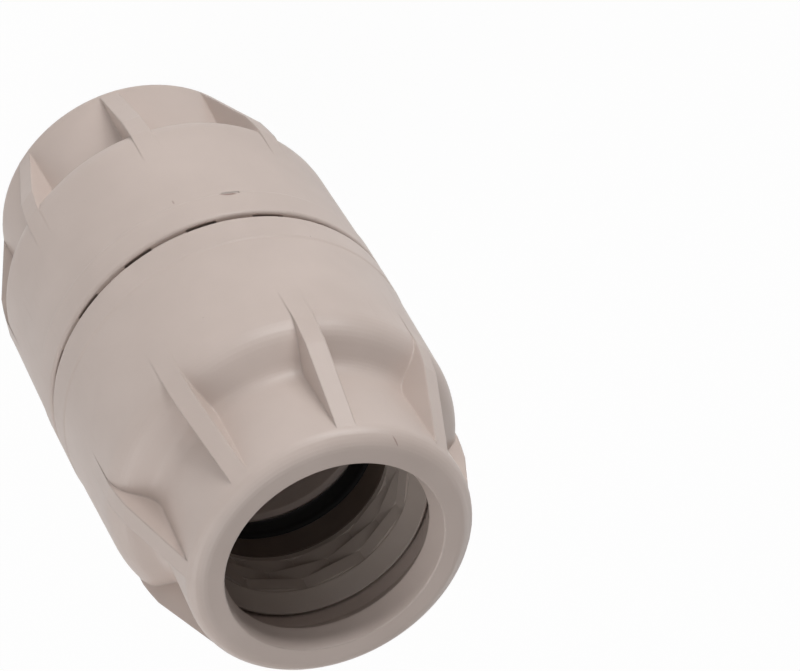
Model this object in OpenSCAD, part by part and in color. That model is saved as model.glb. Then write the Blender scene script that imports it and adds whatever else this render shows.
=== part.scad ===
// Straight compression coupling for plastic pressure pipe.
// A threaded body carries a nut on each end. Under each nut lie a split grip ring,
// a pressure ring and a rubber seal. Each half is drawn upwards from the middle
// plane of the body, and the lower half is the upper one turned over.
// Sizes are in millimetres. The coupling stands on the mouth face of its lower nut.

/* [Pipe] */
// Outside diameter of the pipe
pipe_d = 40; // [32:1:50]
// Radial room between the pipe and the socket
pipe_gap = 0.35; // [0.25:0.05:0.5]

/* [Body] */
// Distance from the middle plane to the end face of the body
body_half = 35.3; // [35:0.1:42]
// Radial wall between the seal chamber and the root of the thread
body_wall = 4.2; // [3.4:0.1:7]
// Radial wall of the nose around the seal chamber
nose_wall = 2.2; // [1.5:0.1:2.6]
// Length of the nose beyond the threaded collar
nose_len = 4.1; // [3.9:0.1:5]
// Length of the threaded collar
collar_len = 19.2; // [14:0.1:20]
// Wall of the tube between the two collars
tube_wall = 5.6; // [4:0.1:7]
// Length of the straight part of the pipe socket, from the stop outwards
socket_len = 21.2; // [16:0.1:21.8]
// Widening of the socket's lead-in
socket_flare = 0.7; // [0.4:0.05:1]
// Depth of the seal chamber, from the end face
chamber_len = 11; // [9.5:0.1:11.4]
// Thickness of the pipe stop
stop_t = 4; // [3:0.1:5.4]
// Height of the pipe stop
stop_h = 2.55; // [1.5:0.05:4]

/* [Flange] */
// Thickness of the middle flange
flange_t = 1.2; // [1:0.1:3]
// How far the flange stays inside the edge of the nuts
flange_inset = 1.25; // [0.4:0.05:1.6]
// Number of lock notches in each face of the flange and in the end of each nut
notch_count = 16; // [8:1:24]
// Share of the circle that the notches take
notch_share = 0.45; // [0.3:0.05:0.7]
// Depth of a notch in the flange
notch_depth = 0.45; // [0.2:0.05:0.45]
// Depth of a notch in the end of a nut
nut_notch = 1.5; // [0.5:0.1:2.5]
// Angle of the first notch, from the nut's first rib
notch_turn = 2; // [0:0.1:22]
// Number of gussets between flange and tube, on each side
gusset_count = 8; // [4:1:12]
// Thickness of a gusset
gusset_t = 2.4; // [1.5:0.1:4]
// Height of a gusset above the flange
gusset_h = 7; // [4:0.1:9]
// Height of a gusset at its outer end
gusset_toe = 1; // [0.5:0.1:2]
// Radial room between a gusset and the nut's thread cavity
gusset_room = 1; // [0.5:0.1:2]

/* [Thread] */
// Radial height of the thread
thread_h = 2.1; // [1.5:0.1:2.6]
// Radial room around the thread
thread_gap = 0.3; // [0.2:0.05:0.6]

/* [Nut] */
// Radial wall of the barrel at the shoulder
nut_wall = 3.25; // [2.8:0.05:6]
// Widening of the barrel from the shoulder to the band
nut_draft = 0.5; // [0:0.05:1]
// Height of the band at the open end
band_h = 8; // [4:0.1:14]
// How far the band stands proud of the barrel
band_step = 0.2; // [0.1:0.05:0.5]
// Length over which the band fades into the barrel
band_fade = 0.5; // [0.2:0.1:1]
// Rounding of the edge at the seam
seam_round = 0.8; // [0.2:0.1:1.2]
// Width of the flat ring on which the open end seats
seat_w = 1.8; // [0.6:0.1:2]
// Depth of the chamfer from that ring into the cavity
open_cut = 0.8; // [0.3:0.1:2]
// Height at which the shoulder starts, from the middle plane
shoulder_z = 36.5; // [36:0.1:37.5]
// Height of the sloping shoulder
shoulder_h = 5.4; // [5:0.1:6.6]
// Rounding of the shoulder
shoulder_round = 7.5; // [3:0.5:8]
// Hollow curve between the shoulder and the neck
neck_round = 5; // [3:0.5:6]
// Smallest wall of the neck over the grip ring
neck_wall = 2.2; // [2:0.1:5]
// Widening of the neck towards the mouth
neck_draft = 0.7; // [0:0.1:1.5]
// Rounding of the outer edge of the mouth
mouth_round = 3.4; // [1:0.1:3.6]
// Number of ribs around the neck
rib_count = 8; // [5:1:10]
// Width of a rib where it leaves the barrel
rib_w = 4.4; // [2:0.1:5]
// Narrowing of a rib from there to the mouth
rib_draft = 0.5; // [0:0.1:1.6]
// Height at which a rib's foot starts inside the barrel, from the middle plane
rib_foot_z = 23; // [20:0.5:28]
// How far a rib's top stands proud of the shoulder's edge
rib_proud = 0.15; // [0.05:0.05:0.6]
// Length of the bend of a rib's top over the shoulder
rib_bend_h = 3; // [2:0.1:4]
// Drop of a rib's top in that bend
rib_dip = 0.4; // [0.2:0.05:0.6]
// Drop of a rib's top at the neck's lower end
rib_bend = 1.1; // [0.8:0.05:1.4]
// Depth at which a rib's top runs into the rounding of the mouth
rib_sink = 0.6; // [0.6:0.05:1]
// Length of the mould's slot on the band line
slot_len = 3.6; // [2:0.1:8]
// Width of that slot
slot_w = 0.8; // [0.3:0.05:1.2]
// Depth of that slot
slot_depth = 0.4; // [0.2:0.05:0.8]
// Angle of that slot, from the first rib
slot_turn = 285.7; // [0:0.1:359.9]

/* [Nut Mouth] */
// Length of the lip, from the mouth to the step behind it
lip_len = 8.2; // [7:0.1:12]
// Length of the lead-in at the mouth
lead_len = 5.2; // [3:0.1:5.6]
// Widening of the lead-in at the mouth face
lead_flare = 1.3; // [0.5:0.1:2]
// Radial room between the pipe and the narrowest part of the lip
lip_gap = 1.1; // [0.6:0.05:1.6]
// Widening of the lip behind its narrowest part
lip_back = 2.1; // [0.5:0.1:2.4]

/* [Grip Ring] */
// Length of the grip ring
grip_len = 14.35; // [12:0.1:18]
// Free length of the cone in front of the grip ring
grip_play = 4.35; // [3:0.1:8]
// Half angle of the clamping cone
cone_angle = 10; // [6:0.5:12]
// Wall of the grip ring at its wide end
grip_wall = 6.6; // [6.2:0.1:7.4]
// Radial room between the grip ring and the nut
grip_gap = 0.25; // [0.15:0.05:0.5]
// Length of the smooth lead-in of the grip ring
collar_in = 4.2; // [2.5:0.1:4.5]
// Number of rows of teeth
tooth_rows = 3; // [2:1:4]
// Number of flats in a row of teeth
tooth_flats = 10; // [8:1:12]
// Angle that the split takes, measured at the flats
split_angle = 20; // [12:1:30]
// Width of the split
split_w = 5; // [3:0.5:6]
// Angle at which the split lies
split_turn = 52.5; // [0:0.5:359.5]
// Rise of a tooth, from its biting edge to the row before it
tooth_rise = 0.7; // [0.3:0.05:0.9]
// Ledge between the lead-in and the corners of the first row
tooth_ledge = 0.15; // [0.1:0.05:0.4]

/* [Seal and Pressure Ring] */
// Radial thickness of the seal
seal_t = 6; // [5:0.1:6.4]
// Width of the seal along the pipe
seal_w = 6.1; // [5:0.1:7]
// Rounding of the seal's edges
seal_round = 1.8; // [0.5:0.1:2]
// Room between the seal and its chamber
seal_gap = 0.05; // [0.02:0.01:0.1]
// Thickness of the pressure ring's collar
press_t = 1.45; // [1:0.05:3]
// Radial room between the pipe and the pressure ring
press_gap = 0.65; // [0.4:0.05:1]
// How far that collar reaches over the end face of the body
press_over = 0.6; // [0.2:0.1:1]

/* [Assembly] */
// Gap between faces that seat on each other
seat_gap = 0.05; // [0.02:0.01:0.1]
// How far the lower nut is turned against the upper one
lower_turn = 29.3; // [0:0.1:44]

// Straight length of the nut around the pressure ring
press_room = 0.6; // [0.4:0.1:1]
// Room between the body's threaded collar and the end of the nut's thread cavity
collar_room = 1.1; // [0.9:0.1:1.4]

/* [Hidden] */
$fn = 96;
arc_steps = 7;
over = 1;
lap = 0.05;

// Radii, from the pipe outwards
pipe_r = pipe_d / 2;
socket_r = pipe_r + pipe_gap;
stop_r = socket_r - stop_h;
chamber_r = socket_r + seal_t;
nose_r = chamber_r + nose_wall;
core_r = chamber_r + body_wall;
tube_r = socket_r + tube_wall;
cavity_r = core_r + thread_h + thread_gap;
barrel_r = cavity_r + nut_wall;
band_r = barrel_r + nut_draft + band_step;
seat_r = band_r - seam_round - seat_w;
flange_r = band_r - flange_inset;
lip_r = pipe_r + lip_gap;

// Heights, from the middle plane outwards
flange_z = flange_t / 2;
seat_z = flange_z + seat_gap;
collar_top = body_half - nose_len;
collar_bottom = collar_top - collar_len;
stop_z = stop_t / 2;
land_z = stop_z + socket_len;
chamber_z = body_half - chamber_len;
seal_top = chamber_z + seal_w;
press_z = body_half + press_t;
grip_z = press_z + seat_gap;
grip_top = grip_z + grip_len;
step_z = grip_top + grip_play;
mouth_z = step_z + lip_len;

// Clamping cone of the nut, and the same cone on the grip ring
grip_r = socket_r + grip_wall;
function grip_cone(z) = grip_r - (z - grip_z) * tan(cone_angle);
function nut_cone(z) = grip_cone(z) + grip_gap;
cone_z = press_z + press_room;
cavity_z = collar_top + collar_room;

// Neck of the nut
neck_z = shoulder_z + shoulder_h;
neck_r = nut_cone(neck_z) + neck_wall;
mouth_r = neck_r + neck_draft;

function unit(v) = v / norm(v);
function turned(p, a) = [p.x * cos(a) - p.y * sin(a), p.x * sin(a) + p.y * cos(a)];

// Arc that rounds the corner b between its neighbours a and c
function corner(a, b, c, r) =
    r == 0 ? [b] :
    let (u = unit(a - b), v = unit(c - b), half = acos(u * v) / 2)
    let (centre = b + unit(u + v) * r / sin(half))
    let (from = b + u * r / tan(half) - centre, to = b + v * r / tan(half) - centre)
    [for (i = [0 : arc_steps])
        centre + turned(from, sign(cross(from, to)) * (180 - 2 * half) * i / arc_steps)];

function flat_point(p) = [p[0], p[1]];

// Outline whose points are [radius, height, rounding]
function rounded(path) =
    [for (i = [0 : len(path) - 1])
        each corner(flat_point(path[(i + len(path) - 1) % len(path)]), flat_point(path[i]),
                    flat_point(path[(i + 1) % len(path)]), path[i][2])];

module revolve(path) {
    rotate_extrude() polygon(rounded(path));
}

// Upright plate in the plane through the axis, drawn as [radius, height] points
module plate(points, thickness) {
    rotate([90, 0, 0])
        translate([0, 0, -thickness / 2])
            linear_extrude(thickness) polygon(points);
}

// Sector of a disc between two radii
module sector(r_in, r_out, angle, height) {
    steps = 6;
    arc = [for (i = [0 : steps]) angle * (i / steps - 0.5)];
    linear_extrude(height)
        polygon(concat([for (a = arc) r_out * [cos(a), sin(a)]],
                       [for (i = [steps : -1 : 0]) r_in * [cos(arc[i]), sin(arc[i])]]));
}

// Half of the body: tube, threaded collar with seal chamber, nose and half of the flange
module body_half_solid() {
    revolve([
        [stop_r, 0, 0],
        [flange_r, 0, 0],
        [flange_r, flange_z, 0],
        [tube_r, flange_z, 0],
        [tube_r, collar_bottom - (core_r - tube_r), 1.5],
        [core_r, collar_bottom, 0.6],
        [core_r, collar_top, 1.2],
        [nose_r, collar_top, 0.5],
        [nose_r, body_half, 0.8],
        [chamber_r, body_half, 0],
        [chamber_r, chamber_z, 0.4],
        [socket_r + socket_flare, chamber_z, 0.4],
        [socket_r, land_z, 0],
        [socket_r, stop_z, 0],
        [stop_r, stop_z, 0.4],
    ]);
}

module gussets() {
    reach = cavity_r - gusset_room;
    for (i = [0 : gusset_count - 1])
        rotate([0, 0, i * 360 / gusset_count])
            plate([[tube_r - over, 0], [reach, 0], [reach, flange_z + gusset_toe],
                   [tube_r, flange_z + gusset_h], [tube_r - over, flange_z + gusset_h]], gusset_t);
}

// Ring of notches, cut into the flange and into the end of the nut alike
module lock_notches(reach, z, height) {
    pitch = 360 / notch_count;
    translate([0, 0, z])
        for (i = [0 : notch_count - 1])
            rotate([0, 0, notch_turn + i * pitch])
                sector(cavity_r - lap, reach, pitch * notch_share, height);
}

module flange_notches() {
    lock_notches(flange_r + over, flange_z - notch_depth, notch_depth + over);
}

module body() {
    color([0.75, 0.70, 0.66])
        translate([0, 0, mouth_z])
            difference() {
                for (side = [0, 1])
                    mirror([0, 0, side]) {
                        body_half_solid();
                        gussets();
                    }
                flange_notches();
                rotate([180, 0, 0]) rotate([0, 0, lower_turn]) flange_notches();
            }
}

// Rubber ring in the chamber of the body
module seal() {
    inner = socket_r;
    outer = chamber_r - seal_gap;
    bottom = chamber_z + seal_gap;
    color([0.05, 0.05, 0.05])
        revolve([
            [inner, bottom, seal_round],
            [outer, bottom, seal_round],
            [outer, seal_top, seal_round],
            [inner, seal_top, seal_round],
        ]);
}

// Hard bush that presses on the seal, with a collar over the end face of the body
module pressure_ring() {
    inner = pipe_r + press_gap;
    sleeve = chamber_r - seal_gap;
    outer = chamber_r + press_over;
    color([0.42, 0.37, 0.33])
        revolve([
            [inner, seal_top, 0.3],
            [sleeve, seal_top, 0.3],
            [sleeve, body_half, 0],
            [outer, body_half, 0.3],
            [outer, press_z, 0.3],
            [inner, press_z, 0.5],
        ]);
}

// Many-sided hole of a row of teeth, narrowest at its deep end, where the teeth bite
module tooth_hole(turn, height) {
    pitch = (360 - split_angle) / tooth_flats;
    reach = socket_r / cos(pitch / 2);
    linear_extrude(height, scale = 1 + tooth_rise / socket_r)
        polygon([for (i = [0 : tooth_flats])
            let (a = split_angle / 2 + turn + i * pitch) reach * [cos(a), sin(a)]]);
}

// Split ring: cone outside, smooth lead-in and rows of flat teeth inside
module grip_ring() {
    pitch = (360 - split_angle) / tooth_flats;
    crown_r = socket_r / cos(pitch / 2);
    teeth_top = grip_top - collar_in;
    end_h = 1.2;
    end_room = 0.3;
    lead_h = 1.5;
    lead_w = 0.7;
    ledge_h = 0.4;
    split_in = 4;
    row_h = (teeth_top - grip_z - end_h) / tooth_rows;
    color([0.80, 0.76, 0.71])
        rotate([0, 0, split_turn])
            difference() {
                revolve([
                    [socket_r - over, grip_z, 0],
                    [grip_cone(grip_z), grip_z, 0.4],
                    [grip_cone(grip_top - lead_h), grip_top - lead_h, 0.5],
                    [grip_cone(grip_top) - lead_w, grip_top, 0.3],
                    [crown_r + tooth_ledge, teeth_top, 0],
                    [crown_r + tooth_ledge, teeth_top - ledge_h, 0],
                    [socket_r - over, teeth_top - ledge_h, 0],
                ]);
                for (i = [0 : tooth_rows - 1])
                    translate([0, 0, teeth_top - (i + 1) * row_h - lap])
                        tooth_hole((i % 2) * pitch / 2, row_h + lap);
                translate([0, 0, grip_z - over])
                    cylinder(h = end_h + over, r = socket_r + end_room);
                translate([socket_r - split_in, -split_w / 2, grip_z - over])
                    cube([grip_wall + 2 * split_in, split_w, grip_len + 2 * over]);
            }
}

// Rib that bridges the neck: flush on the barrel, bent over the shoulder, straight to the
// mouth, and narrower towards the mouth
module rib() {
    top_r = barrel_r + rib_proud;
    foot_r = neck_r - over;
    end_z = mouth_z - mouth_round / 2;
    tip_w = rib_w - rib_draft;
    intersection() {
        plate([
            [foot_r, rib_foot_z],
            [top_r, rib_foot_z],
            [top_r, shoulder_z - rib_bend_h / 2],
            [top_r - rib_dip, shoulder_z + rib_bend_h / 2],
            [top_r - rib_bend, neck_z],
            [mouth_r - rib_sink, end_z],
            [foot_r, end_z],
        ], rib_w + over);
        translate([foot_r - over, 0, 0])
            rotate([90, 0, 90])
                linear_extrude(top_r - foot_r + 2 * over)
                    polygon([[-rib_w / 2, rib_foot_z - over], [rib_w / 2, rib_foot_z - over],
                             [tip_w / 2, mouth_z], [-tip_w / 2, mouth_z]]);
    }
}

// The nut's way for the body and the grip ring
module nut_inside() {
    revolve([
        [0, seat_z - over, 0],
        [seat_r, seat_z - over, 0],
        [seat_r, seat_z, 0],
        [cavity_r, seat_z + open_cut, 0],
        [cavity_r, cavity_z, 0.6],
        [nut_cone(cone_z), cone_z, 0.6],
        [nut_cone(step_z), step_z, 0.2],
        [lip_r + lip_back, step_z, 0.3],
        [lip_r, mouth_z - lead_len, 0.4],
        [lip_r + lead_flare, mouth_z, 0],
        [lip_r + lead_flare, mouth_z + over, 0],
        [0, mouth_z + over, 0],
    ]);
}

module nut() {
    color([0.76, 0.71, 0.67])
        difference() {
            union() {
                revolve([
                    [0, seat_z, 0],
                    [band_r, seat_z, seam_round],
                    [band_r, band_h - band_fade / 2, 0],
                    [barrel_r + nut_draft, band_h + band_fade / 2, 0],
                    [barrel_r, shoulder_z, shoulder_round],
                    [neck_r, neck_z, neck_round],
                    [mouth_r, mouth_z, mouth_round],
                    [0, mouth_z, 0],
                ]);
                for (i = [0 : rib_count - 1])
                    rotate([0, 0, i * 360 / rib_count]) rib();
            }
            nut_inside();
            lock_notches(band_r - seam_round - 2 * lap, seat_z - over, nut_notch + over);
            rotate([0, 0, slot_turn])
                translate([band_r - slot_depth, -slot_len / 2, band_h - slot_w / 2])
                    cube([slot_depth + over, slot_len, slot_w]);
        }
}

// Places a piece of the upper half at the top
module at_top() {
    translate([0, 0, mouth_z]) children();
}

// Places the same piece at the bottom, turned over
module at_bottom() {
    translate([0, 0, mouth_z])
        rotate([180, 0, 0]) children();
}

body();
at_top() seal();  // seal_top
at_bottom() seal();  // seal_bottom
at_top() pressure_ring();  // pressure_ring_top
at_bottom() pressure_ring();  // pressure_ring_bottom
at_top() grip_ring();  // grip_ring_top
at_bottom() grip_ring();  // grip_ring_bottom
at_top() nut();  // nut_top
at_bottom() rotate([0, 0, lower_turn]) nut();  // nut_bottom
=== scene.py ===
import math

import bpy
from mathutils import Matrix, Vector


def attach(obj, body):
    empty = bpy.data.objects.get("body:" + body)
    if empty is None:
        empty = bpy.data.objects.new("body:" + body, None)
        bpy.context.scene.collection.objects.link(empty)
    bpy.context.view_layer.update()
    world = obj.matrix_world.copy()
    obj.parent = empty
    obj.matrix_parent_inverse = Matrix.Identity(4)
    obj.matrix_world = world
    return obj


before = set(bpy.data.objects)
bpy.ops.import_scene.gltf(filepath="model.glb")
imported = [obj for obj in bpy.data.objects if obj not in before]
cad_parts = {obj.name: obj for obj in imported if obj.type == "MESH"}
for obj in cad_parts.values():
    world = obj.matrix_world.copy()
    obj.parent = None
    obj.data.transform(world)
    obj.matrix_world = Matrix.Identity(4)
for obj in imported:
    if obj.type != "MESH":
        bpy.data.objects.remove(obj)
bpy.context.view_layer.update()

MM = 0.001
MIDDLE = 63.7 * MM          # height of the body's middle plane above the floor
PITCH = 5.5 * MM            # travel of a nut for one turn


# ---------------------------------------------------------------- small helpers

def hex_colour(code):
    """Linear colour from an sRGB hex value."""
    channels = [int(code[i:i + 2], 16) / 255 for i in (1, 3, 5)]
    return [c / 12.92 if c <= 0.04045 else ((c + 0.055) / 1.055) ** 2.4 for c in channels] + [1]


def add(tree, kind, inputs=None, **settings):
    """Adds a node. An input is a value, or the socket that feeds it."""
    new = tree.nodes.new("ShaderNode" + kind)
    for name, value in settings.items():
        setattr(new, name, value)
    for key, value in (inputs or {}).items():
        if isinstance(value, bpy.types.NodeSocket):
            tree.links.new(value, new.inputs[key])
        else:
            new.inputs[key].default_value = value
    return new


def per_metre(millimetres):
    """Scale of a pattern whose features are that many millimetres across."""
    return 1 / (millimetres * MM)


def start_material(name):
    material = bpy.data.materials.new(name)
    material.use_nodes = True
    tree = material.node_tree
    tree.nodes.clear()
    place = add(tree, "TexCoord").outputs["Object"]
    return material, tree, place


def close_material(tree, shader):
    add(tree, "OutputMaterial", {"Surface": shader.outputs["BSDF"]})


# ---------------------------------------------------------------- finishes

# A brown lens at the gate slot of the lower nut and a nick beside it; and over the rim of the upper nut a
# scratch whose relief is not built, painted as a dark line that is painted shade of that relief: centre in
# mm, direction, side it faces, half length and half width in mm, and strength
MARKS_AND_PAINTED_SHADE = [
    ((25.6, 26.6, 56.1), (1.0, -0.96, 0.22), (0.69, 0.72, 0), 2.0, 0.62, 0.8),
    ((16.8, 32.9, 54.1), (0.1, 0.2, 1.0), (0.46, 0.89, 0), 0.8, 0.25, 0.4),
    ((24.8, 11.7, 126.6), (0.8, 2.2, -1.05), (0.6, 0.25, 0.75), 1.4, 0.2, 0.55),
]
MARK_DEPTH = 1.2 * MM       # how far a mark reaches to both sides of the surface


def small_mark(tree, place, centre, towards, faces, half_length, half_width, strength):
    """Share of a long thin mark: a thin leaf of space on edge, that the surface cuts."""
    along = Vector(towards).normalized()
    across = Vector(faces).cross(along).normalized()
    turn = Matrix((along, across, along.cross(across))).transposed().to_euler()
    lie = add(tree, "Mapping", {
        "Vector": place,
        "Location": [c * MM for c in centre],
        "Rotation": turn,
        "Scale": (half_length * MM, half_width * MM, MARK_DEPTH),
    }, vector_type="TEXTURE")
    reach = add(tree, "VectorMath", {0: lie.outputs[0]}, operation="LENGTH")
    share = add(tree, "MapRange", {"Value": reach.outputs["Value"], "From Min": 0.6, "From Max": 1.0,
                                   "To Min": strength, "To Max": 0.0})
    return share.outputs["Result"]


def moulded_polypropylene():
    """Warm grey polypropylene, injection moulded: satin, with a fine spark-eroded grain,
    slow waves where the wall shrank, a few flecks, and handling scuffs."""
    material, tree, place = start_material("moulded_polypropylene")
    clouds = add(tree, "TexNoise", {"Vector": place, "Scale": per_metre(26), "Detail": 3.0,
                                    "Roughness": 0.55})
    tint = add(tree, "ValToRGB", {"Fac": clouds.outputs["Fac"]})
    tint.color_ramp.elements[0].position = 0.3
    tint.color_ramp.elements[0].color = hex_colour("#C1B2AA")
    tint.color_ramp.elements[1].position = 0.7
    tint.color_ramp.elements[1].color = hex_colour("#CABBB3")

    # Flecks in the granulate, a fifth of a millimetre across
    cells = add(tree, "TexVoronoi", {"Vector": place, "Scale": per_metre(5.5)})
    dots = add(tree, "MapRange", {"Value": cells.outputs["Distance"], "From Min": 0.022, "From Max": 0.034,
                                  "To Min": 1.0, "To Max": 0.0})
    rare = add(tree, "SeparateColor", {"Color": cells.outputs["Color"]})
    chosen = add(tree, "Math", {0: rare.outputs["Red"], 1: 0.8}, operation="GREATER_THAN")
    fleck = add(tree, "Math", {0: dots.outputs["Result"], 1: chosen.outputs[0]}, operation="MULTIPLY")
    fleck_share = add(tree, "Math", {0: fleck.outputs[0], 1: 0.5}, operation="MULTIPLY")
    base = add(tree, "Mix", {"Factor": fleck_share.outputs[0], "A": tint.outputs["Color"],
                             "B": hex_colour("#7A6A60")}, data_type="RGBA")

    # Mixes the marks' brown into the colour; the rim scratch's dark line is painted shade
    for mark in MARKS_AND_PAINTED_SHADE:
        base = add(tree, "Mix", {"Factor": small_mark(tree, place, *mark), "A": base.outputs["Result"],
                                 "B": hex_colour("#85655A")}, data_type="RGBA")

    # Scuffs: long thin marks, 0.3 mm wide and some 12 mm long
    lie = add(tree, "Mapping", {"Vector": place, "Rotation": (0.5, 0.3, 0.9), "Scale": (1.0, 1.0, 0.06)})
    scuffs = add(tree, "TexNoise", {"Vector": lie.outputs[0], "Scale": per_metre(0.8), "Detail": 2.0})
    scuffed = add(tree, "MapRange", {"Value": scuffs.outputs["Fac"], "From Min": 0.62, "From Max": 0.75})
    worn = add(tree, "TexNoise", {"Vector": place, "Scale": per_metre(14), "Detail": 2.0})
    rough = add(tree, "MapRange", {"Value": worn.outputs["Fac"], "From Min": 0.3, "From Max": 0.7,
                                   "To Min": 0.36, "To Max": 0.44})
    rough_scuffed = add(tree, "Math", {0: scuffed.outputs["Result"], 1: 0.1, 2: rough.outputs["Result"]},
                        operation="MULTIPLY_ADD")

    # Grain of the mould, drawn at 0.45 mm so that it shows, over shrink waves of 9 mm
    grain = add(tree, "TexNoise", {"Vector": place, "Scale": per_metre(0.45), "Detail": 2.0})
    waves = add(tree, "TexNoise", {"Vector": place, "Scale": per_metre(9), "Detail": 1.0})
    edges = add(tree, "Bevel", {"Radius": 0.55 * MM}, samples=8)      # the mould's softened edges
    wave_bump = add(tree, "Bump", {"Height": waves.outputs["Fac"], "Strength": 0.10, "Distance": 0.5 * MM,
                                   "Normal": edges.outputs[0]})
    grain_bump = add(tree, "Bump", {"Height": grain.outputs["Fac"], "Strength": 0.22, "Distance": 0.05 * MM,
                                    "Normal": wave_bump.outputs[0]})
    shader = add(tree, "BsdfPrincipled", {
        "Base Color": base.outputs["Result"],
        "Roughness": rough_scuffed.outputs[0],
        "IOR": 1.49,
        "Normal": grain_bump.outputs[0],
    })
    close_material(tree, shader)
    return material


def acetal_with_painted_shade():
    """Acetal of the grip rings: harder, cooler and glossier than the nuts. Its own pale colour is painted
    darker here, as painted shade for the rings' place deep inside the nuts.
    """
    material, tree, place = start_material("acetal_with_painted_shade")
    clouds = add(tree, "TexNoise", {"Vector": place, "Scale": per_metre(12), "Detail": 2.0})
    # Ring colour painted darker than the pale acetal itself: painted shade for the rings deep in the nuts'
    # mouths
    tint = add(tree, "ValToRGB", {"Fac": clouds.outputs["Fac"]})
    tint.color_ramp.elements[0].position = 0.3
    tint.color_ramp.elements[0].color = hex_colour("#A3978F")
    tint.color_ramp.elements[1].position = 0.7
    tint.color_ramp.elements[1].color = hex_colour("#ACA098")
    grain = add(tree, "TexNoise", {"Vector": place, "Scale": per_metre(0.6), "Detail": 2.0})
    bump = add(tree, "Bump", {"Height": grain.outputs["Fac"], "Strength": 0.15, "Distance": 0.04 * MM})
    rough = add(tree, "MapRange", {"Value": clouds.outputs["Fac"], "To Min": 0.26, "To Max": 0.36})
    shader = add(tree, "BsdfPrincipled", {
        "Base Color": tint.outputs["Color"],
        "Roughness": rough.outputs["Result"],
        "IOR": 1.48,
        "Normal": bump.outputs[0],
    })
    close_material(tree, shader)
    return material


def moulded_bush():
    """Dark brown-grey plastic of the pressure rings, moulded smooth."""
    material, tree, place = start_material("moulded_bush")
    clouds = add(tree, "TexNoise", {"Vector": place, "Scale": per_metre(8), "Detail": 2.0})
    tint = add(tree, "ValToRGB", {"Fac": clouds.outputs["Fac"]})
    tint.color_ramp.elements[0].position = 0.3
    tint.color_ramp.elements[0].color = hex_colour("#54473F")
    tint.color_ramp.elements[1].position = 0.7
    tint.color_ramp.elements[1].color = hex_colour("#5C4F46")
    shader = add(tree, "BsdfPrincipled", {"Base Color": tint.outputs["Color"], "Roughness": 0.42, "IOR": 1.5})
    close_material(tree, shader)
    return material


def seal_rubber():
    """Black nitrile rubber, moulded and lightly dusted: dark and soft-edged in its shine."""
    material, tree, place = start_material("nitrile_rubber")
    dust = add(tree, "TexNoise", {"Vector": place, "Scale": per_metre(5), "Detail": 4.0})
    tint = add(tree, "ValToRGB", {"Fac": dust.outputs["Fac"]})
    tint.color_ramp.elements[0].position = 0.4
    tint.color_ramp.elements[0].color = hex_colour("#070606")
    tint.color_ramp.elements[1].position = 0.75
    tint.color_ramp.elements[1].color = hex_colour("#0F0D0C")
    grain = add(tree, "TexNoise", {"Vector": place, "Scale": per_metre(0.5), "Detail": 2.0})
    bump = add(tree, "Bump", {"Height": grain.outputs["Fac"], "Strength": 0.2, "Distance": 0.05 * MM})
    shader = add(tree, "BsdfPrincipled", {
        "Base Color": tint.outputs["Color"],
        "Roughness": 0.62,
        "IOR": 1.4,
        "Normal": bump.outputs[0],
    })
    close_material(tree, shader)
    return material


def dress(piece, material):
    piece.data.materials.clear()
    piece.data.materials.append(material)


POLYPROPYLENE = moulded_polypropylene()
ACETAL_WITH_PAINTED_SHADE = acetal_with_painted_shade()
BUSH = moulded_bush()
RUBBER = seal_rubber()

FINISHES = {
    "seal": (RUBBER, "seal_rubber"),
    "pressure": (BUSH, "bush_plastic"),
    "grip": (ACETAL_WITH_PAINTED_SHADE, "ring_plastic"),
    "nut": (POLYPROPYLENE, "moulded_plastic"),
    "body": (POLYPROPYLENE, "moulded_plastic"),
}
for name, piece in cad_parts.items():
    finish, slot = FINISHES[name.split("_")[0]]
    dress(piece, finish)


# ---------------------------------------------------------------- screw threads

def edit(piece):
    bpy.ops.object.select_all(action="DESELECT")
    piece.select_set(True)
    bpy.context.view_layer.objects.active = piece
    bpy.ops.object.mode_set(mode="EDIT")


def leave_edit():
    bpy.ops.object.mode_set(mode="OBJECT")


# Of each ridge: root radius, crest radius, and lower and upper end over the middle plane, in mm
BODY_THREAD = (30.45, 32.6, 13.4, 29.4)
NUT_THREAD = (33.05, 30.9, 10.65, 26.65)
ROOT_WIDTH = 2.8 * MM
CREST_WIDTH = 1.1 * MM
STEPS_A_TURN = 72
FADE = PITCH / 6            # travel over which a ridge rises from the wall
LEAST_HEIGHT = 0.05         # share of the full height that is left at a ridge's very end
TOUCH = 0.01 * MM           # tolerance for a point that lies on the crest


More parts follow.
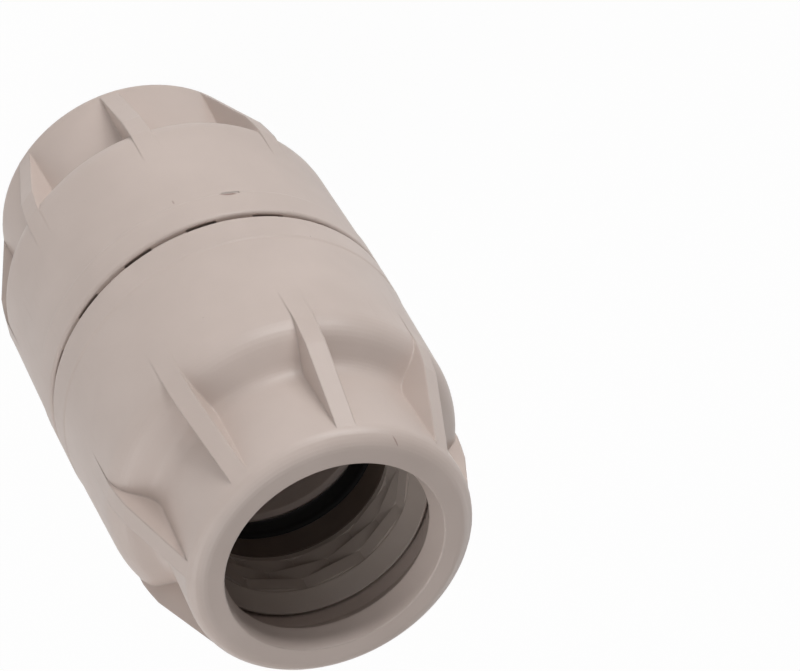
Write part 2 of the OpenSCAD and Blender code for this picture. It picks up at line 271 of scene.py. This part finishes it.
def thread_ridge(name, sizes):
    """Right-hand ridge of a screw thread that fades in and out at its ends."""
    root_r, crest_r, low_z, high_z = [size * MM for size in sizes]
    turns = (high_z - low_z) / PITCH
    bpy.ops.object.select_all(action="DESELECT")
    bpy.ops.mesh.primitive_plane_add(size=1, location=(0, 0, 0))
    piece = bpy.context.object
    piece.name = name

    # The plane's four corners become the ridge's section, in the order in which Blender has them
    section = [(root_r, -ROOT_WIDTH / 2), (crest_r, -CREST_WIDTH / 2),
               (root_r, ROOT_WIDTH / 2), (crest_r, CREST_WIDTH / 2)]
    for vertex, (r, z) in zip(piece.data.vertices, section):
        vertex.co = (r, 0, z + low_z)
    edit(piece)
    bpy.ops.mesh.select_all(action="SELECT")
    bpy.ops.mesh.delete(type="ONLY_FACE")
    leave_edit()
    screw = piece.modifiers.new("screw", "SCREW")
    screw.axis = "Z"
    screw.angle = 2 * math.pi * turns
    screw.screw_offset = high_z - low_z
    screw.steps = screw.render_steps = round(STEPS_A_TURN * turns)
    screw.use_merge_vertices = False
    bpy.ops.object.modifier_apply(modifier="screw")

    # The crest sinks towards the root at both ends
    for vertex in piece.data.vertices:
        r = math.hypot(vertex.co.x, vertex.co.y)
        if abs(r - crest_r) > TOUCH:
            continue
        to_end = min(vertex.co.z - low_z, high_z - vertex.co.z) + CREST_WIDTH / 2
        share = max(LEAST_HEIGHT, min(1.0, to_end / FADE))
        sunk = root_r + (crest_r - root_r) * share
        vertex.co.x *= sunk / r
        vertex.co.y *= sunk / r
    edit(piece)
    bpy.ops.mesh.select_all(action="SELECT")
    bpy.ops.mesh.fill_holes(sides=len(section))
    bpy.ops.mesh.normals_make_consistent(inside=False)
    leave_edit()
    return piece


def finish_piece(piece, body):
    bpy.ops.object.select_all(action="DESELECT")
    piece.select_set(True)
    bpy.context.view_layer.objects.active = piece
    bpy.ops.object.shade_smooth_by_angle(angle=math.radians(35))
    dress(piece, POLYPROPYLENE)
    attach(piece, body)


def copy_to_lower(piece, name, body):
    """The same piece on the lower half: turned over about the middle plane."""
    twin = piece.copy()
    twin.data = piece.data.copy()
    twin.name = name
    twin.parent = None
    bpy.context.scene.collection.objects.link(twin)
    twin.data.transform(Matrix.Translation((0, 0, MIDDLE)) @ Matrix.Rotation(math.pi, 4, "X")
                        @ Matrix.Translation((0, 0, -MIDDLE)))
    finish_piece(twin, body)


THREADS = [
    ("thread_body", BODY_THREAD, "sleeve", "sleeve"),
    ("thread_nut", NUT_THREAD, "upper_nut", "lower_nut"),
]
for name, sizes, upper_body, lower_body in THREADS:
    ridge = thread_ridge(name + "_top", sizes)
    ridge.data.transform(Matrix.Translation((0, 0, MIDDLE)))
    finish_piece(ridge, upper_body)
    copy_to_lower(ridge, name + "_bottom", lower_body)


# ---------------------------------------------------------------- floor, light and camera

FLOOR_SIZE = 6              # metres
FLOOR_DROP = 0.02 * MM      # room under the part, so that the faces don't meet
FLOOR_SEEN = 0.97           # share of plain white where the camera sees the floor; the rest is shade
FLOOR_SHINE = 0.6           # the same in the part's shine
SKY_SHINE = 0.1             # white of the sky in the part's shine

bpy.ops.object.select_all(action="DESELECT")
bpy.ops.mesh.primitive_plane_add(size=FLOOR_SIZE, location=(0, 0, -FLOOR_DROP))
floor = bpy.context.object
floor.name = "floor"
material, tree, place = start_material("pale_floor")
paper = add(tree, "BsdfDiffuse", {"Color": hex_colour("#F4F3F2")})
glow = add(tree, "Emission", {"Color": (1, 1, 1, 1), "Strength": 1.0})
path = add(tree, "LightPath")
mirrored = add(tree, "Math", {0: path.outputs["Is Glossy Ray"], 1: FLOOR_SHINE}, operation="MULTIPLY")
share = add(tree, "Math", {0: path.outputs["Is Camera Ray"], 1: FLOOR_SEEN, 2: mirrored.outputs[0]},
            operation="MULTIPLY_ADD")
mixed = add(tree, "MixShader", {0: share.outputs[0], 1: paper.outputs[0], 2: glow.outputs[0]})
add(tree, "OutputMaterial", {"Surface": mixed.outputs[0]})
dress(floor, material)


def softbox(name, azimuth, elevation, width, height, power):
    """White area light that looks at the middle of the coupling from 1.3 m away."""
    aim = Vector((0, 0, MIDDLE))
    distance = 1.3
    a, e = math.radians(azimuth), math.radians(elevation)
    towards = Vector((math.cos(a) * math.cos(e), math.sin(a) * math.cos(e), math.sin(e)))
    light = bpy.data.lights.new(name, "AREA")
    light.shape = "RECTANGLE"
    light.size = width
    light.size_y = height
    light.energy = power
    lamp = bpy.data.objects.new(name, light)
    lamp.location = aim + towards * distance
    lamp.rotation_euler = (-towards).to_track_quat("-Z", "Y").to_euler()
    bpy.context.scene.collection.objects.link(lamp)


# Name, azimuth and elevation in degrees, width and height in metres, and power in watts
LAMPS = [
    ("back_low", 40, 3.5, 0.6, 0.14, 5.7),
    ("back_low_right", 20, 3.5, 0.6, 0.14, 4.1),
    ("back_low_left", 75, 20, 0.7, 0.5, 1.4),
    ("left", 180, 12, 0.8, 0.5, 2.3),
    ("left_front", 150, 25, 0.8, 0.8, 3.4),
    ("front_high", 120, 45, 0.7, 0.7, 1.6),
    ("right", 0, 20, 0.7, 0.5, 0.5),
    ("right_low", -40, 12, 0.7, 0.4, 0.6),
    ("right_far", -80, 15, 0.8, 0.6, 3.0),
    ("over_left", 165, 52, 0.7, 0.7, 1.0),
    ("over", 200, 65, 0.9, 0.9, 4.4),
    ("over_back", 60, 70, 0.9, 0.9, 1.6),
]
for lamp in LAMPS:
    softbox(*lamp)

# White where the camera looks past the floor, and faint in the shine; it adds no light of its own
world = bpy.data.worlds.new("studio")
world.use_nodes = True
sky = world.node_tree
sky.nodes.clear()
path = add(sky, "LightPath")
shine = add(sky, "Math", {0: path.outputs["Is Glossy Ray"], 1: SKY_SHINE}, operation="MULTIPLY")
seen = add(sky, "Math", {0: path.outputs["Is Camera Ray"], 1: shine.outputs[0]}, operation="ADD")
white = add(sky, "Background", {"Color": (1, 1, 1, 1), "Strength": seen.outputs[0]})
add(sky, "OutputWorld", {"Surface": white.outputs[0]})
bpy.context.scene.world = world

# A long lens, turned so that the standing coupling lies in the picture as in the photo
camera_data = bpy.data.cameras.new("camera")
camera_data.sensor_width = 36
camera_data.lens = 180
camera = bpy.data.objects.new("camera", camera_data)
right = Vector((0.7370, -0.5734, 0.3580))
up = Vector((0.6591, 0.4920, -0.5688))
back = Vector((0.1500, 0.6551, 0.7405))
camera.matrix_world = (Matrix.Translation((0.1512, 0.5128, 0.6717))
                       @ Matrix((right, up, back)).transposed().to_4x4())
bpy.context.scene.collection.objects.link(camera)
bpy.context.scene.camera = camera
bpy.context.scene.view_settings.view_transform = "Standard"
